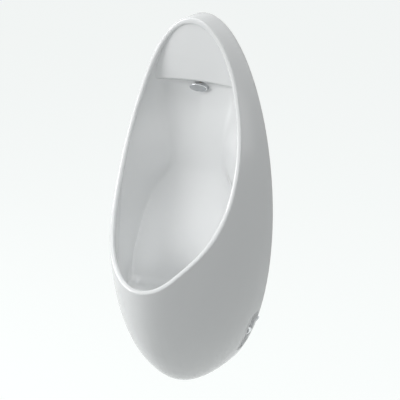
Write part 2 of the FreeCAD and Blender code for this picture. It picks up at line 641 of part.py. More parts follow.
def make_outlet_wall_seal():
    """The lipped rubber cuff round the pipe where it enters the wall's drain."""
    cuff = on_outlet_axis(OUTLET_R + 4.0, OUTLET_R, CUFF_Y, CUFF_Y + 20.0)
    return cuff.fuse(on_outlet_axis(OUTLET_R + 8.0, OUTLET_R, CUFF_Y, CUFF_Y + 3.0))


# --- Fixings ------------------------------------------------------------------------------------------

def make_hanger():
    """One bent steel hook: a plate on the wall, a shelf and an upturned edge that carries the rib."""
    low = HANGER_X - HANGER_W / 2.0
    t = HANGER_T
    outline = [(0, HANGER_LOW_Z), (0, HANGER_SHELF_Z), (-HANGER_REACH + t, HANGER_SHELF_Z),
               (-HANGER_REACH + t, HANGER_TOP_Z), (-HANGER_REACH, HANGER_TOP_Z),
               (-HANGER_REACH, HANGER_SHELF_Z - t), (-t, HANGER_SHELF_Z - t), (-t, HANGER_LOW_Z)]
    hook = prism_x(outline, low, low + HANGER_W)
    return hook.cut(rod(SCREW_R + 0.4, (HANGER_X, -10, HANGER_SCREW_Z), (HANGER_X, 5, HANGER_SCREW_Z)))


def make_hanger_pads():
    """The soft strips between the hooks and the china rib."""
    low = HANGER_X - HANGER_W / 2.0
    pad = box((low, -HANGER_REACH, HANGER_TOP_Z), (low + HANGER_W, -HANGER_REACH + HANGER_T, HANGER_TOP_Z + 1.0))
    return both_sides(pad)


def screw(x, z, head_y, head_r, head_t):
    """A wall screw: a chamfered head and a plain shank in front of the wall, its thread inside it."""
    shank = rod(SHANK_R, (x, head_y - head_t / 2.0, z), (x, SHANK_END_Y, z))
    thread = rod(SCREW_R, (x, SHANK_END_Y, z), (x, SCREW_END_Y, z))
    head = rod(head_r, (x, head_y - head_t, z), (x, head_y, z))
    head = head.makeChamfer(head_t * 0.3, front_edges(head))
    return head.fuse(shank).fuse(thread)


def front_edges(shape):
    """The edges of a shape's frontmost face."""
    front = shape.BoundBox.YMin
    return [edge for edge in shape.Edges if edge.BoundBox.YMax - front < 0.01]


def make_hanger_washers():
    """The steel washers under the upper screws."""
    washer = tube(8.0, SCREW_R + 0.2, (HANGER_X, -HANGER_T - 1.6, HANGER_SCREW_Z),
                  (HANGER_X, -HANGER_T, HANGER_SCREW_Z))
    return both_sides(washer)


def make_hanger_screws():
    """The upper screws."""
    return both_sides(screw(HANGER_X, HANGER_SCREW_Z, -HANGER_T - 1.6, 6.5, 5.4))


def make_lower_sleeves():
    """The plastic sleeves that keep the lower screws off the china."""
    sleeve = rod(4.9, (EAR_X, -EAR_T, EAR_Z), (EAR_X, 0, EAR_Z))
    sleeve = sleeve.fuse(rod(9.0, (EAR_X, -EAR_T - 2.0, EAR_Z), (EAR_X, -EAR_T, EAR_Z)))
    return both_sides(sleeve.cut(rod(SCREW_R + 0.1, (EAR_X, -EAR_T - 3, EAR_Z), (EAR_X, 1, EAR_Z))))


def make_lower_washers():
    """The steel washers under the lower screws."""
    washer = tube(8.0, SCREW_R + 0.2, (EAR_X, -EAR_T - 3.6, EAR_Z), (EAR_X, -EAR_T - 2.0, EAR_Z))
    return both_sides(washer)


def make_lower_screws():
    """The lower screws."""
    return both_sides(screw(EAR_X, EAR_Z, -EAR_T - 3.6, 6.5, 5.4))


def make_lower_caps():
    """The push-on caps that hide the lower screws."""
    y = -EAR_T - 2.0
    cap = rod(9.8, (EAR_X, y - 9.0, EAR_Z), (EAR_X, y, EAR_Z))
    cap = cap.makeFillet(2.0, front_edges(cap))
    return both_sides(cap.cut(rod(8.4, (EAR_X, y - 7.8, EAR_Z), (EAR_X, y + 1, EAR_Z))))


# --- Export -------------------------------------------------------------------------------------------

MAKERS = {
    "ceramic_body": make_ceramic_body,
    "spreader_cap": make_spreader_cap,
    "spreader_front_washer": make_spreader_front_washer,
    "spreader_stem": make_spreader_stem,
    "spreader_rear_washer": lambda: on_spreader_axis(15.0, STEM_R, REAR_WASHER_Y, REAR_WASHER_Y + 1.0),
    "spreader_slip_washer": lambda: on_spreader_axis(14.5, STEM_R, REAR_WASHER_Y + 1.0, REAR_WASHER_Y + 2.0),
    "spreader_lock_nut": lambda: nut_on_spreader_axis(24.0, STEM_R, REAR_WASHER_Y + 2.0, REAR_WASHER_Y + 8.0),
    "inlet_coupling_nut": make_inlet_coupling_nut,
    "inlet_cone_seal": make_inlet_cone_seal,
    "inlet_tail_pipe": make_inlet_tail_pipe,
    "waste_top_seal": make_waste_top_seal,
    "waste_collar": make_waste_collar,
    "strainer": make_strainer,
    "trap_insert": make_trap_insert,
    "trap_insert_seal": make_trap_insert_seal,
    "trap_gasket": make_trap_gasket,
    "trap_cup": make_trap_cup,
    "outlet_slip_nut": make_outlet_slip_nut,
    "outlet_slip_seal": make_outlet_slip_seal,
    "outlet_pipe": make_outlet_pipe,
    "outlet_wall_seal": make_outlet_wall_seal,
    "hanger_right": make_hanger,
    "hanger_left": lambda: mirrored(make_hanger()),
    "hanger_pads": make_hanger_pads,
    "hanger_washers": make_hanger_washers,
    "hanger_screws": make_hanger_screws,
    "lower_sleeves": make_lower_sleeves,
    "lower_washers": make_lower_washers,
    "lower_screws": make_lower_screws,
    "lower_caps": make_lower_caps,
}


if __name__ == "__main__":
    os.makedirs("parts", exist_ok=True)
    for name, make in MAKERS.items():
        make().exportStep("parts/" + name + ".step")
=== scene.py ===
import json
import math

import bpy
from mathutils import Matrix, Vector
from mathutils.bvhtree import BVHTree


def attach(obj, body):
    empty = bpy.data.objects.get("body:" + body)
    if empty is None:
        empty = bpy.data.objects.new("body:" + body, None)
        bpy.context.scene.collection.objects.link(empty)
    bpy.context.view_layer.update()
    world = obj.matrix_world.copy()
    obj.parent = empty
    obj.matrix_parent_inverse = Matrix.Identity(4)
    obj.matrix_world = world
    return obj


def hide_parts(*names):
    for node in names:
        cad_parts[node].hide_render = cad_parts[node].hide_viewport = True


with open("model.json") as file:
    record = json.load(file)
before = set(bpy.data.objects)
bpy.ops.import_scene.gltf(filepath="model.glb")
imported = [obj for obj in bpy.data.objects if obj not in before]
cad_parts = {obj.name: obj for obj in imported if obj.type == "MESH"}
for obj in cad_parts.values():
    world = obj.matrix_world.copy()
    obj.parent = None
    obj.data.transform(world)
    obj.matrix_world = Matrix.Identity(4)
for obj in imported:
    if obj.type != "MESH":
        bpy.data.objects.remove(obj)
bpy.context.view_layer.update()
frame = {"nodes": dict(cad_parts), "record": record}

nodes = frame["nodes"]

# Wall hung urinal. Metres. The wall is at +Y, the user stands at -Y, and Z is up.

CAMERA_AT = Vector((0.869, -1.801, 1.127))
CAMERA_LOOKS_AT = Vector((0.0490, -0.1200, 0.4184))
CAMERA_LENS = 97.8

FLOOR_HEIGHT = -0.36            # the lip hangs about 0.65 above the floor
BACKGROUND = (0.913, 0.939, 0.930)
FLOOR_GLOW = 0.93               # share of the background's colour that the floor shows by itself
FLOOR_VEIL = 0.20               # the rest comes from light on it, so that a shadow shows

# Square soft lamps: name, place, power.
LAMPS = [
    ("key_left", (-1.9, -1.6, 1.6), 35.0),
    ("left_low", (-2.2, -0.7, 0.5), 10.0),
    ("front_soft", (0.1, -2.6, 1.0), 3.0),
    ("front_right", (1.5, -2.2, 1.2), 10.6),
    ("right_back", (2.0, 1.2, 0.8), 3.5),
    ("top_soft", (0.0, -0.4, 2.4), 17.5),
]
LAMPS_AIM_AT = (0.0, -0.1, 0.38)
LAMP_SIDE = 1.2
WORLD_STRENGTH = 0.18

GLAZE_SHADE, GLAZE_LIGHT = (0.800, 0.812, 0.815), (0.822, 0.832, 0.833)
BARE_CLAY = (0.66, 0.63, 0.58)
GLAZE_ROUGHNESS, BARE_ROUGHNESS = 0.16, 0.75
BARE_FROM_Y, BARE_FULL_Y = -0.0012, -0.0004     # the last millimetre before the wall is bare
NOISE_LOW, NOISE_HIGH = 0.3, 0.7                # where nearly all of a noise's values lie


# --- Materials ----------------------------------------------------------------------------------------

def new_material(name):
    """A node material and its shader."""
    material = bpy.data.materials.new(name)
    material.use_nodes = True
    shader = material.node_tree.nodes["Principled BSDF"]
    return material, shader


def add(material, kind, **inputs):
    """Add a node and set some of its inputs by name."""
    node = material.node_tree.nodes.new(kind)
    for name, value in inputs.items():
        node.inputs[name].default_value = value
    return node


def link(material, source, target):
    """Join two sockets."""
    material.node_tree.links.new(source, target)


def object_noise(material, scale, detail=3.0, stretch=(1.0, 1.0, 1.0)):
    """Noise on the object's own coordinates."""
    place = add(material, "ShaderNodeTexCoord")
    mapping = add(material, "ShaderNodeMapping", Scale=stretch)
    noise = add(material, "ShaderNodeTexNoise", Scale=scale, Detail=detail)
    link(material, place.outputs["Object"], mapping.inputs["Vector"])
    link(material, mapping.outputs["Vector"], noise.inputs["Vector"])
    return noise.outputs["Fac"]


def between(material, amount, low, high, socket):
    """Spread a noise's amount from low to high on a socket."""
    ramp = material.node_tree.nodes.new("ShaderNodeMapRange")
    ramp.inputs["From Min"].default_value = NOISE_LOW
    ramp.inputs["From Max"].default_value = NOISE_HIGH
    ramp.inputs["To Min"].default_value = low
    ramp.inputs["To Max"].default_value = high
    link(material, amount, ramp.inputs["Value"])
    link(material, ramp.outputs["Result"], socket)


def bumpy(material, shader, amount, strength, distance):
    """Raise and sink the surface's shading by an amount."""
    bump = add(material, "ShaderNodeBump", Strength=strength, Distance=distance)
    link(material, amount, bump.inputs["Height"])
    link(material, bump.outputs["Normal"], shader.inputs["Normal"])


def two_tone(material, amount, one, other, socket):
    """Mix two colours by an amount."""
    mix = material.node_tree.nodes.new("ShaderNodeMix")
    mix.data_type = "RGBA"
    mix.inputs["A"].default_value = (*one, 1.0)
    mix.inputs["B"].default_value = (*other, 1.0)
    link(material, amount, mix.inputs["Factor"])
    link(material, mix.outputs["Result"], socket)
    return mix


def glazed_china():
    """Cool white vitreous china under a clear glaze, bare and rough where it is ground flat for the wall."""
    material, shader = new_material("glazed_china")
    shader.inputs["IOR"].default_value = 1.52
    tone = object_noise(material, 9.0, 2.0)
    place = add(material, "ShaderNodeTexCoord")
    axes = material.node_tree.nodes.new("ShaderNodeSeparateXYZ")
    link(material, place.outputs["Object"], axes.inputs[0])
    bare = material.node_tree.nodes.new("ShaderNodeMapRange")
    bare.inputs["From Min"].default_value = BARE_FROM_Y
    bare.inputs["From Max"].default_value = BARE_FULL_Y
    link(material, axes.outputs["Y"], bare.inputs["Value"])
    glazed = two_tone(material, tone, GLAZE_SHADE, GLAZE_LIGHT, shader.inputs["Base Color"])
    ground = two_tone(material, bare.outputs["Result"], GLAZE_LIGHT, BARE_CLAY, shader.inputs["Base Color"])
    link(material, glazed.outputs["Result"], ground.inputs["A"])
    sheen = material.node_tree.nodes.new("ShaderNodeMapRange")
    sheen.inputs["To Max"].default_value = BARE_ROUGHNESS
    link(material, bare.outputs["Result"], sheen.inputs["Value"])
    between(material, object_noise(material, 60.0, 3.0), GLAZE_ROUGHNESS * 0.8, GLAZE_ROUGHNESS * 1.2,
            sheen.inputs["To Min"])
    link(material, sheen.outputs["Result"], shader.inputs["Roughness"])
    bumpy(material, shader, object_noise(material, 38.0, 2.0), 0.05, 0.0006)
    return material


def plain_metal(name, colour, darker, roughness, stretch=(1.0, 1.0, 1.0), scale=180.0, strength=0.05):
    """Metal with faint marks, drawn out along an axis where it was turned or drawn."""
    material, shader = new_material(name)
    shader.inputs["Metallic"].default_value = 1.0
    amount = object_noise(material, scale, 4.0, stretch)
    two_tone(material, amount, colour, darker, shader.inputs["Base Color"])
    between(material, amount, roughness * 0.75, roughness * 1.3, shader.inputs["Roughness"])
    bumpy(material, shader, amount, strength, 0.0002)
    return material


def soft_plastic(name, colour, darker, roughness, scale=400.0, strength=0.12):
    """Moulded plastic or rubber with a fine grain."""
    material, shader = new_material(name)
    amount = object_noise(material, scale, 4.0)
    two_tone(material, amount, colour, darker, shader.inputs["Base Color"])
    between(material, amount, roughness * 0.85, min(1.0, roughness * 1.15), shader.inputs["Roughness"])
    bumpy(material, shader, amount, strength, 0.0002)
    return material


CHINA = glazed_china()
CHROME = plain_metal("bright_chrome", (0.80, 0.81, 0.82), (0.70, 0.71, 0.73), 0.08)
BRASS = plain_metal("turned_brass", (0.74, 0.58, 0.30), (0.62, 0.46, 0.22), 0.28, (1, 8, 1))
STEEL = plain_metal("zinc_plated_steel", (0.62, 0.63, 0.65), (0.48, 0.49, 0.51), 0.35, (1, 1, 6))
RUBBER = soft_plastic("black_rubber", (0.020, 0.020, 0.021), (0.032, 0.032, 0.033), 0.72)
PLASTIC = soft_plastic("moulded_white_plastic", (0.78, 0.78, 0.76), (0.72, 0.72, 0.70), 0.42)

FINISH_OF_SLOT = {"china": CHINA, "chrome": CHROME, "brass": BRASS, "steel": STEEL,
                  "rubber": RUBBER, "white_plastic": PLASTIC}


def give_finish(obj, material):
    """The only material of a piece."""
    if not obj.material_slots:
        obj.data.materials.append(material)
    for slot in obj.material_slots:
        slot.link = "OBJECT"
        slot.material = material


SLOT_OF_NODE = {part["node"]: part["material_slot"] for part in frame["record"]["subparts"]}
for node_name, slot_name in SLOT_OF_NODE.items():
    give_finish(nodes[node_name], FINISH_OF_SLOT[slot_name])


# --- Handling pieces ----------------------------------------------------------------------------------

MM = 0.001
MERGE_CAD, MERGE_MODELLED = 0.00001, 0.000005


def deselect_all():
    """Leave nothing selected."""
    for obj in bpy.context.selected_objects:
        obj.select_set(False)


def only(piece):
    """Select one piece and make it the active one."""
    deselect_all()
    piece.select_set(True)
    bpy.context.view_layer.objects.active = piece


def edit(piece):
    """Open a piece for editing by its faces."""
    only(piece)
    bpy.ops.object.mode_set(mode="EDIT")
    bpy.context.tool_settings.mesh_select_mode = (False, False, True)


def done():
    """Close the piece that is being edited."""
    bpy.ops.object.mode_set(mode="OBJECT")


def nothing_picked(mesh):
    """Clear a mesh's selection."""
    for group in (mesh.vertices, mesh.edges, mesh.polygons):
        for element in group:
            element.select = False


def pick_faces(piece, wanted):
    """In edit mode, select just the faces whose centre and normal pass a test."""
    done()
    nothing_picked(piece.data)
    for face in piece.data.polygons:
        face.select = bool(wanted(face.center, face.normal))
    bpy.ops.object.mode_set(mode="EDIT")


def pick_corner(piece, wanted):
    """In edit mode, select the one vertex that comes first by a measure of its place."""
    bpy.context.tool_settings.mesh_select_mode = (True, False, False)
    done()
    nothing_picked(piece.data)
    min(piece.data.vertices, key=lambda vertex: wanted(vertex.co)).select = True
    bpy.ops.object.mode_set(mode="EDIT")


def settle(piece, name, node, body, slot, angle=32.0):
    """Finish a modelled piece: place in its mesh, smooth sides, finish, body and its CAD node."""
    piece.name = name
    only(piece)
    bpy.ops.object.transform_apply(location=True, rotation=True, scale=True)
    edit(piece)
    bpy.ops.mesh.select_all(action="SELECT")
    bpy.ops.mesh.remove_doubles(threshold=MERGE_MODELLED)
    done()
    bpy.ops.object.shade_smooth_by_angle(angle=math.radians(angle))
    weigh_normals(piece)
    give_finish(piece, FINISH_OF_SLOT[slot])
    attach(piece, body)
    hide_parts(node)
    return piece


def weigh_normals(piece):
    """Let the large faces of a merged mesh set the shading along the small ones of its rounded edges."""
    only(piece)
    weigh = piece.modifiers.new("weighted", "WEIGHTED_NORMAL")
    weigh.mode = "FACE_AREA_WITH_ANGLE"
    weigh.weight = 50
    weigh.keep_sharp = True
    bpy.ops.object.modifier_apply(modifier=weigh.name)


def apply_modifier(piece, kind, **settings):
    """Add a modifier, set it up and apply it."""
    only(piece)
    modifier = piece.modifiers.new(kind.lower(), kind)
    for key, value in settings.items():
        setattr(modifier, key, value)
    bpy.ops.object.modifier_apply(modifier=modifier.name)


def cut_away(piece, cutter):
    """Take one shape out of another and drop the cutter."""
    apply_modifier(piece, "BOOLEAN", operation="DIFFERENCE", object=cutter, solver="EXACT")
    bpy.data.objects.remove(cutter, do_unlink=True)


def bar(radius, x, y_front, y_back, z, sides=48, turn=0.0):
    """A round or many-sided bar along Y, in millimetres."""
    deselect_all()
    bpy.ops.mesh.primitive_cylinder_add(vertices=sides, radius=radius * MM, depth=(y_back - y_front) * MM,
                                        location=(x * MM, (y_front + y_back) / 2.0 * MM, z * MM),
                                        rotation=(math.radians(90.0), math.radians(turn), 0.0))
    return bpy.context.object


def joined(pieces):
    """Several objects made one."""
    deselect_all()
    for piece in pieces:
        only(piece)
        bpy.ops.object.transform_apply(location=True, rotation=True, scale=True)
    for piece in pieces:
        piece.select_set(True)
    bpy.context.view_layer.objects.active = pieces[0]
    bpy.ops.object.join()
    return bpy.context.object


# --- Smooth copies of the CAD nodes -------------------------------------------------------------------

def smooth_copy(node, body, angle=32.0, rounding=0.0):
    """A merged, smoothly shaded copy of a CAD node that stands for it."""
    source = nodes[node]
    piece = source.copy()
    piece.data = source.data.copy()
    piece.name = node + "_body"
    piece.parent = None
    bpy.context.scene.collection.objects.link(piece)
    edit(piece)
    bpy.ops.mesh.select_all(action="SELECT")
    bpy.ops.mesh.remove_doubles(threshold=MERGE_CAD)
    if rounding:
        bpy.ops.mesh.dissolve_limited(angle_limit=math.radians(1.0))
    done()
    if rounding:
        apply_modifier(piece, "BEVEL", width=rounding * MM, segments=2, limit_method="ANGLE",
                       angle_limit=math.radians(40.0))
    bpy.ops.object.shade_smooth_by_angle(angle=math.radians(angle))
    weigh_normals(piece)
    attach(piece, body)
    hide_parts(node)
    return piece


# --- The bowl's glazed face ---------------------------------------------------------------------------

# Where the back of the bowl meets the side walls: (height, half width) in millimetres.
CREASE = [(196, 60.0), (200, 69.0), (207, 81.0), (215, 90.0), (235, 100.0), (258, 104.7),
          (280, 106.3), (303, 105.6), (324, 104.7), (349, 101.8), (370, 96.4), (401, 85.4),
          (420, 74.0), (437, 62.5), (455, 56.5), (479, 55.5), (523, 55.5), (573, 56.0), (620, 56.0)]
# How far the rim stands from the wall: (height, depth).
RIM_DEPTH = [(350, 205.5), (400, 156.0), (450, 124.5), (500, 102.5), (550, 84.0), (600, 71.5),
             (650, 61.5)]
FACE_LOW_Z, FACE_HIGH_Z = 202.0, 611.0
FACE_ROWS = 70
FACE_THICKNESS = 2.0            # towards the china
BOWL_MIDDLE_Y = -145.0
BOWL_REACH = 160.0              # a line inside the bowl that is longer than this has left it through a hole
BESIDE_SPREADER_X = 24.0        # clear of the spreader's seat and hole
MEASURE_UNDER_Z = 598.0         # above this the ledge hides the corner, so its depth stays as it is here
NICHE_FROM_Z, NICHE_FULL_Z = 330.0, 540.0
WALL_REACH = 80.0               # under the niche the side walls are reshaped this far in front of the crease
RIM_ROUND_REACH = 5.0           # in the niche they are flat up to the rim's rounding
CREASE_SOFT_Z, CREASE_CRISP_Z = 470.0, 385.0
CREASE_SOFT, CREASE_CRISP = 12.0, 3.5
BACK_FLATNESS = 0.75            # 1 is flat from crease to crease, 0 hollow as in the rough form
FLAT_FROM_Z, FLAT_UP_TO_Z = (170.0, 330.0), (540.0, 585.0)
LOW_FADE_Z, HIGH_FADE_Z = 268.0, 490.0  # past these the face runs back into the china
SUNK_SHARE = 1.05               # at its ends the face lies this share of the way to the china: just under it
FADE_SPLIT_Z, NICHE_MIDDLE_Y = 400.0, -50.0     # above, the fade is aimed from the niche's own middle
OFF_MIDDLE, OFF_CREASE = 0.2, 0.5               # how far the face starts in front of the china
BEHIND_WALL = 6.0               # the wall's run is taken from its end and a place this far behind it
HANDLE_REACH, HANDLE_LESS_IN_NICHE = 0.24, 0.09
BACK_STEPS, CREASE_STEPS, WALL_STEPS = 10, 6, 14
BACK_CURL = 3                   # how late the back curls forward towards the crease
EDGE_INTO_CHINA = 4.0


def along(points, place):
    """A smooth curve through (place, value) points."""
    for i in range(len(points) - 1):
        if place <= points[i + 1][0] or i == len(points) - 2:
            break
    (x1, y1), (x2, y2) = points[i], points[i + 1]
    x0, y0 = points[max(0, i - 1)]
    x3, y3 = points[min(len(points) - 1, i + 2)]
    slope_1 = (y2 - y0) / (x2 - x0)
    slope_2 = (y3 - y1) / (x3 - x1)
    t = (place - x1) / (x2 - x1)
    step = x2 - x1
    return ((2 * t ** 3 - 3 * t ** 2 + 1) * y1 + (t ** 3 - 2 * t ** 2 + t) * step * slope_1
            + (3 * t ** 2 - 2 * t ** 3) * y2 + (t ** 3 - t ** 2) * step * slope_2)


def share_of(place, start, end):
    """0 at the start, 1 at the end, eased at both."""
    share = min(1.0, max(0.0, (place - start) / (end - start)))
    return share * share * (3.0 - 2.0 * share)


def china_met(tree, start, aim):
    """The place where a line inside the bowl, in millimetres, meets the china."""
    hit = tree.ray_cast(Vector(start) * MM, Vector(aim).normalized(), BOWL_REACH * MM)[0]
    return hit / MM if hit else Vector(start) + Vector(aim)


def on_bend(start, handle, end, t):
    """A point on a simple curve with one handle."""
    return start * (1 - t) ** 2 + handle * 2 * t * (1 - t) + end * t ** 2


def bend(start, handle, end, steps):
    """Points along such a curve, without its start."""
    return [on_bend(start, handle, end, i / steps) for i in range(1, steps + 1)]


def face_row(tree, z):
    """Half of the face's level outline, from the centre line over the crease to the side wall."""
    measured_z = min(z, MEASURE_UNDER_Z)
    crease_x = along(CREASE, z)
    middle = china_met(tree, (BESIDE_SPREADER_X, BOWL_MIDDLE_Y, measured_z), (0, 1, 0)).y - OFF_MIDDLE
    crease_y = china_met(tree, (crease_x, BOWL_MIDDLE_Y, measured_z), (0, 1, 0)).y - OFF_CREASE
    crease = Vector((crease_x, crease_y, z))
    flat = BACK_FLATNESS * share_of(z, *FLAT_FROM_Z) * (1.0 - share_of(z, *FLAT_UP_TO_Z))
    middle += flat * (crease_y - middle)
    niche = share_of(z, NICHE_FROM_Z, NICHE_FULL_Z)
    in_niche = RIM_ROUND_REACH - along(RIM_DEPTH, max(z, RIM_DEPTH[0][0]))
    wall_y = (crease_y - WALL_REACH) * (1.0 - niche) + in_niche * niche
    wall = china_met(tree, (0.0, wall_y, z), (1, 0, 0))
    behind = china_met(tree, (0.0, wall_y + BEHIND_WALL, z), (1, 0, 0))
    handle_share = HANDLE_REACH - HANDLE_LESS_IN_NICHE * niche
    handle = wall + (behind - wall).normalized() * handle_share * (wall - crease).length
    soft = CREASE_CRISP + (CREASE_SOFT - CREASE_CRISP) * share_of(z, CREASE_CRISP_Z, CREASE_SOFT_Z)
    points = []
    for i in range(BACK_STEPS + 1):
        x = (crease_x - soft) * i / BACK_STEPS
        points.append(Vector((x, middle + (crease_y - middle) * (x / crease_x) ** BACK_CURL, z)))
    reach = soft / (2.0 * (wall - crease).length)
    points += bend(points[-1], crease, on_bend(crease, handle, wall, reach), CREASE_STEPS)
    points += [on_bend(crease, handle, wall, reach + (1.0 - reach) * i / WALL_STEPS)
               for i in range(1, WALL_STEPS + 1)]
    points.append(wall + Vector((EDGE_INTO_CHINA, 0.0, 0.0)))
    share = SUNK_SHARE * max(1.0 - share_of(z, FACE_LOW_Z, LOW_FADE_Z), share_of(z, HIGH_FADE_Z, FACE_HIGH_Z))
    if share > 0.0:
        centre = Vector((0.0, BOWL_MIDDLE_Y if z < FADE_SPLIT_Z else NICHE_MIDDLE_Y, z))
        points = [point.lerp(china_met(tree, centre, point - centre), share)
                  for point in points[:-1]] + points[-1:]
    return points


def bowl_face(china):
    """The bowl's face in front of its rough corner: a broad back, flat side walls and the crease between."""
    tree = BVHTree.FromObject(china, bpy.context.evaluated_depsgraph_get())
    rows = []
    for i in range(FACE_ROWS):
        z = FACE_LOW_Z + (FACE_HIGH_Z - FACE_LOW_Z) * i / (FACE_ROWS - 1)
        half = face_row(tree, z)
        rows.append([(-point.x * MM, point.y * MM, point.z * MM) for point in reversed(half[1:])]
                    + [tuple(point * MM) for point in half])
    mesh = bpy.data.meshes.new("bowl_face")
    corners = [corner for row in rows for corner in row]
    faces = []
    width = len(rows[0])
    for i in range(FACE_ROWS - 1):
        for j in range(width - 1):
            low, high = i * width + j, (i + 1) * width + j
            faces.append((low, low + 1, high + 1, high))
    mesh.from_pydata(corners, [], faces)
    face = bpy.data.objects.new("bowl_face", mesh)
    bpy.context.scene.collection.objects.link(face)
    apply_modifier(face, "SOLIDIFY", thickness=FACE_THICKNESS * MM, offset=-1.0)
    return face


MODELLED = ("spreader_cap", "spreader_lock_nut", "inlet_coupling_nut", "outlet_slip_nut",
            "hanger_screws", "lower_screws")
ROUNDED = {"hanger_right": 0.5, "hanger_left": 0.5}
for body_name, node_names in frame["record"]["behaviour"]["bodies"].items():
    for node_name in node_names:
        if node_name not in MODELLED:
            smooth_copy(node_name, body_name, rounding=ROUNDED.get(node_name, 0.0))

face = bowl_face(bpy.data.objects["ceramic_body_body"])
settle(face, "bowl_face", "ceramic_body", "root", "china", angle=50.0)


# --- Screws and nuts ----------------------------------------------------------------------------------

SCREW_TIP_Y = 50.0
THREAD_FROM_Y = 2.0
THREAD_PITCH = 3.0
THREAD_CREST_R, THREAD_ROOT_R = 4.0, 3.0
THREAD_SUNK = 0.4               # the ridge starts this far inside the core
THREAD_HALF_SHARE = 0.32        # half of the ridge's width, as a share of the pitch
POINT_LENGTH, POINT_SHARE = 5.0, 0.08
HEAD_R, HEAD_THICKNESS, SHANK_R = 6.5, 5.4, 3.7
SOCKET_R, SOCKET_DEPTH = 3.4, 2.4


def thread_ridge(x, z, turns):
    """One V-shaped ridge wound round a wall screw: a two-edge profile carried round by a screw modifier."""
    deselect_all()
    half = THREAD_PITCH * THREAD_HALF_SHARE * MM
    height = (THREAD_CREST_R - THREAD_ROOT_R + THREAD_SUNK) * MM
    bpy.ops.mesh.primitive_plane_add(size=1.0, location=(x * MM, THREAD_FROM_Y * MM, z * MM))
    ridge = bpy.context.object
    edit(ridge)
    # Once one corner is gone, the square turned by an eighth is a V whose point becomes the ridge.
    pick_corner(ridge, lambda place: place.x + place.y)
    bpy.ops.mesh.delete(type="VERT")
    done()
    ridge.rotation_euler = (0.0, 0.0, math.radians(-45.0))
    only(ridge)
    bpy.ops.object.transform_apply(location=False, rotation=True, scale=False)
    spread = math.sqrt(0.5)
    ridge.scale = (height / spread, half / spread, 1.0)
    bpy.ops.object.transform_apply(location=False, rotation=False, scale=True)
    low = min(vertex.co.x for vertex in ridge.data.vertices)
    edit(ridge)
    bpy.ops.mesh.select_all(action="SELECT")
    bpy.ops.transform.translate(value=((THREAD_ROOT_R - THREAD_SUNK) * MM - low, 0.0, 0.0))
    done()
    apply_modifier(ridge, "SCREW", axis="Y", angle=math.radians(360.0), screw_offset=THREAD_PITCH * MM,
                   iterations=turns, steps=20, render_steps=20, use_merge_vertices=True)
    return ridge


def wall_screw(x, z, head_y):
    """A wall screw: a round head with a six-sided socket, a plain shank, a cored thread and a point."""
    head = bar(HEAD_R, x, head_y - HEAD_THICKNESS, head_y, z)
    apply_modifier(head, "BEVEL", width=0.9 * MM, segments=3, limit_method="ANGLE",
                   angle_limit=math.radians(60.0))
    cut_away(head, bar(SOCKET_R, x, head_y - 6.0, head_y - SOCKET_DEPTH, z, sides=6))
    shank = bar(SHANK_R, x, head_y - 1.0, 1.0, z, sides=32)
    core_end = SCREW_TIP_Y - POINT_LENGTH
    core = bar(THREAD_ROOT_R, x, 0.0, core_end, z, sides=32)
    edit(core)
    # The bar's own -Z is the wall's side.
    pick_faces(core, lambda centre, normal: normal.z < -0.9 and centre.z < 0.0)
    bpy.ops.mesh.extrude_region_move(TRANSFORM_OT_translate={"value": (0.0, POINT_LENGTH * MM, 0.0)})
    bpy.ops.transform.resize(value=(POINT_SHARE, 1.0, POINT_SHARE))
    done()
    turns = int((SCREW_TIP_Y - 6.0 - THREAD_FROM_Y) / THREAD_PITCH)
    return joined([head, shank, core, thread_ridge(x, z, turns)])


def twin(piece, across):
    """A copy with its own mesh, moved sideways by so many millimetres."""
    copy = piece.copy()
    copy.data = piece.data.copy()
    bpy.context.scene.collection.objects.link(copy)
    copy.location.x += across * MM
    return copy


def hex_nut(across_flats, y_front, y_back, z, bores):
    """A six-sided nut with its corners turned off at both ends."""
    corner = across_flats / math.sqrt(3.0)
    nut = bar(corner, 0.0, y_front, y_back, z, sides=6, turn=30.0)
    turned = bar(corner * 0.995, 0.0, y_front, y_back, z, sides=64)
    apply_modifier(turned, "BEVEL", width=1.3 * MM, segments=1, limit_method="ANGLE",
                   angle_limit=math.radians(60.0))
    apply_modifier(nut, "BOOLEAN", operation="INTERSECT", object=turned, solver="EXACT")
    bpy.data.objects.remove(turned, do_unlink=True)
    for radius, bore_front, bore_back in bores:
        cut_away(nut, bar(radius, 0.0, bore_front, bore_back, z, sides=48))
    return nut


def fluted_nut(y_front, y_back, z):
    """The outlet's hand-tightened nut: shallow flutes all round, a wide socket and a narrow back wall."""
    nut = bar(27.5, 0.0, y_front, y_back, z, sides=96)
    edit(nut)
    pick_faces(nut, lambda centre, normal: abs(normal.z) < 0.5
               and int(round(math.degrees(math.atan2(centre.y, centre.x)) / 3.75 - 0.5)) % 4 == 0)
    bpy.ops.mesh.inset(thickness=0.35 * MM, depth=-1.0 * MM, use_individual=True)
    done()
    cut_away(nut, bar(24.0, 0.0, y_front - 1.0, y_back - 5.0, z, sides=64))
    cut_away(nut, bar(20.0, 0.0, y_front - 1.0, y_back + 1.0, z, sides=64))
    return nut


SPREADER_AXIS_Z, OUTLET_AXIS_Z = 603.0, 142.0
HOOD_HALF_W, HOOD_HALF_H = 18.4, 8.4
HOOD_SEAT_Y, HOOD_BROW_Y = -19.0, -31.0
HOOD_LEAN = 24.0                # the hood's face slopes back this much from its brow to its chin
HOOD_BROW_DROP = 1.5            # the brow's edge lies this far under the oval's top
HOOD_SOFT_EDGE = 1.5
HOOD_SLOT_HALF_W = 12.0
HOOD_SLOT_Y, HOOD_SLOT_GAP = -23.0, 2.4
HOOD_SLOT_FROM, HOOD_SLOT_TO = 20.0, 6.5        # under the spreader's axis


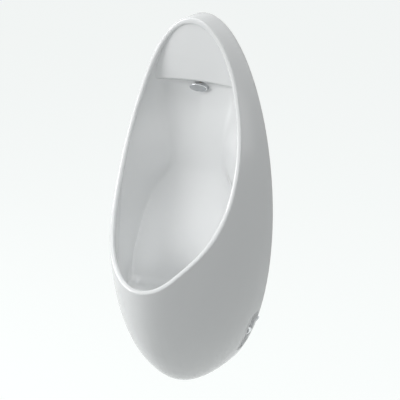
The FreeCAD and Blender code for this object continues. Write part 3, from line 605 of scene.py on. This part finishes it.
def spreader_hood():
    """The flush hood: an oval block cut back on a slope under its brow, softened, with the slot below."""
    hood = bar(1.0, 0.0, HOOD_BROW_Y - 4.0, HOOD_SEAT_Y, SPREADER_AXIS_Z, sides=96)
    hood.scale = (HOOD_HALF_W, HOOD_HALF_H, 1.0)
    only(hood)
    bpy.ops.object.transform_apply(location=True, rotation=True, scale=True)
    edit(hood)
    bpy.ops.mesh.select_all(action="SELECT")
    lean = math.radians(HOOD_LEAN)
    brow = (0.0, HOOD_BROW_Y * MM, (SPREADER_AXIS_Z + HOOD_HALF_H - HOOD_BROW_DROP) * MM)
    bpy.ops.mesh.bisect(plane_co=brow, plane_no=(0.0, -math.cos(lean), -math.sin(lean)), use_fill=True,
                        clear_outer=True)
    done()
    edit(hood)
    pick_faces(hood, lambda centre, normal: normal.y < -0.5)
    bpy.ops.mesh.bevel(offset=HOOD_SOFT_EDGE * MM, segments=4, affect="EDGES")
    done()
    slot_low, slot_high = SPREADER_AXIS_Z - HOOD_SLOT_FROM, SPREADER_AXIS_Z - HOOD_SLOT_TO
    deselect_all()
    middle = (0.0, HOOD_SLOT_Y * MM, (slot_low + slot_high) / 2.0 * MM)
    bpy.ops.mesh.primitive_cube_add(size=1.0, location=middle)
    slot = bpy.context.object
    slot.scale = (2.0 * HOOD_SLOT_HALF_W * MM, HOOD_SLOT_GAP * MM, (slot_high - slot_low) * MM)
    cut_away(hood, slot)
    return hood


settle(spreader_hood(), "spreader_hood", "spreader_cap", "root", "chrome", angle=40.0)
settle(hex_nut(24.0, -6.0, 0.0, SPREADER_AXIS_Z, [(8.3, -7.0, 1.0)]),
       "lock_nut", "spreader_lock_nut", "root", "brass")
settle(hex_nut(27.0, 3.0, 20.0, SPREADER_AXIS_Z, [(8.3, 2.0, 19.0), (7.9, 18.0, 21.0)]),
       "coupling_nut", "inlet_coupling_nut", "root", "chrome")
settle(fluted_nut(-106.0, -89.0, OUTLET_AXIS_Z), "slip_nut", "outlet_slip_nut", "root", "white_plastic")

# Node, name, distance from the centre line, height, and where the head sits.
for node_name, screw_name, off_centre, height, head_seat in (
        ("hanger_screws", "hanger_screw", 30.0, 648.0, -4.1),
        ("lower_screws", "lower_screw", 100.0, 115.0, -11.6)):
    right_screw = wall_screw(off_centre, height, head_seat)
    left_screw = twin(right_screw, -2.0 * off_centre)
    settle(right_screw, screw_name + "_right", node_name, "root", "steel")
    settle(left_screw, screw_name + "_left", node_name, "root", "steel")


# --- Floor, light and camera --------------------------------------------------------------------------

def looked_at(tree):
    """1 where the camera, a reflection or a refraction looks, 0 for light on its way."""
    rays = tree.nodes.new("ShaderNodeLightPath")
    either = tree.nodes.new("ShaderNodeMath")
    either.operation = "MAXIMUM"
    tree.links.new(rays.outputs["Is Camera Ray"], either.inputs[0])
    tree.links.new(rays.outputs["Is Glossy Ray"], either.inputs[1])
    any_look = tree.nodes.new("ShaderNodeMath")
    any_look.operation = "MAXIMUM"
    tree.links.new(either.outputs[0], any_look.inputs[0])
    tree.links.new(rays.outputs["Is Transmission Ray"], any_look.inputs[1])
    return any_look.outputs[0]


def make_world():
    """A pale even world: plain background where it is looked at, faint soft light everywhere else."""
    world = bpy.data.worlds.new("studio")
    bpy.context.scene.world = world
    world.use_nodes = True
    tree = world.node_tree
    tree.nodes.clear()
    lit = tree.nodes.new("ShaderNodeBackground")
    lit.inputs["Color"].default_value = (0.95, 0.98, 1.0, 1.0)
    lit.inputs["Strength"].default_value = WORLD_STRENGTH
    shown = tree.nodes.new("ShaderNodeBackground")
    shown.inputs["Color"].default_value = (*BACKGROUND, 1.0)
    mix = tree.nodes.new("ShaderNodeMixShader")
    out = tree.nodes.new("ShaderNodeOutputWorld")
    tree.links.new(looked_at(tree), mix.inputs["Fac"])
    tree.links.new(lit.outputs[0], mix.inputs[1])
    tree.links.new(shown.outputs[0], mix.inputs[2])
    tree.links.new(mix.outputs[0], out.inputs["Surface"])


def make_floor():
    """A pale floor of nearly the background's own colour, on which a soft shadow still shows."""
    bpy.ops.mesh.primitive_plane_add(size=40.0, location=(0.0, 0.0, FLOOR_HEIGHT))
    floor = bpy.context.object
    floor.name = "floor"
    material, shader = new_material("pale_floor")
    tree = material.node_tree
    shader.inputs["Roughness"].default_value = 0.9
    shader.inputs["Specular IOR Level"].default_value = 0.0
    two_tone(material, object_noise(material, 3.0), (0.60, 0.615, 0.61), (0.62, 0.635, 0.63),
             shader.inputs["Base Color"])
    glow = tree.nodes.new("ShaderNodeEmission")
    glow.inputs["Color"].default_value = (*[FLOOR_GLOW * value for value in BACKGROUND], 1.0)
    veil = tree.nodes.new("ShaderNodeBsdfDiffuse")
    veil.inputs["Color"].default_value = (*[FLOOR_VEIL * value for value in BACKGROUND], 1.0)
    shown = tree.nodes.new("ShaderNodeAddShader")
    tree.links.new(glow.outputs[0], shown.inputs[0])
    tree.links.new(veil.outputs[0], shown.inputs[1])
    mix = tree.nodes.new("ShaderNodeMixShader")
    tree.links.new(looked_at(tree), mix.inputs["Fac"])
    tree.links.new(shader.outputs[0], mix.inputs[1])
    tree.links.new(shown.outputs[0], mix.inputs[2])
    tree.links.new(mix.outputs[0], tree.nodes["Material Output"].inputs["Surface"])
    floor.data.materials.append(material)


def make_lamps():
    """The soft studio lamps, all turned to the bowl."""
    for name, place, power in LAMPS:
        light = bpy.data.lights.new(name, "AREA")
        light.shape = "RECTANGLE"
        light.size = LAMP_SIDE
        light.size_y = LAMP_SIDE
        light.energy = power
        lamp = bpy.data.objects.new(name, light)
        bpy.context.scene.collection.objects.link(lamp)
        lamp.location = place
        lamp.rotation_euler = (Vector(LAMPS_AIM_AT) - Vector(place)).to_track_quat("-Z", "Y").to_euler()


def make_camera():
    """The camera at the photo's viewing angle."""
    data = bpy.data.cameras.new("camera")
    data.lens = CAMERA_LENS
    data.sensor_width = 36.0
    camera = bpy.data.objects.new("camera", data)
    bpy.context.scene.collection.objects.link(camera)
    camera.location = CAMERA_AT
    camera.rotation_euler = (CAMERA_LOOKS_AT - CAMERA_AT).to_track_quat("-Z", "Y").to_euler()
    bpy.context.scene.camera = camera


make_world()
make_floor()
make_lamps()
make_camera()
bpy.context.scene.view_settings.view_transform = "Standard"
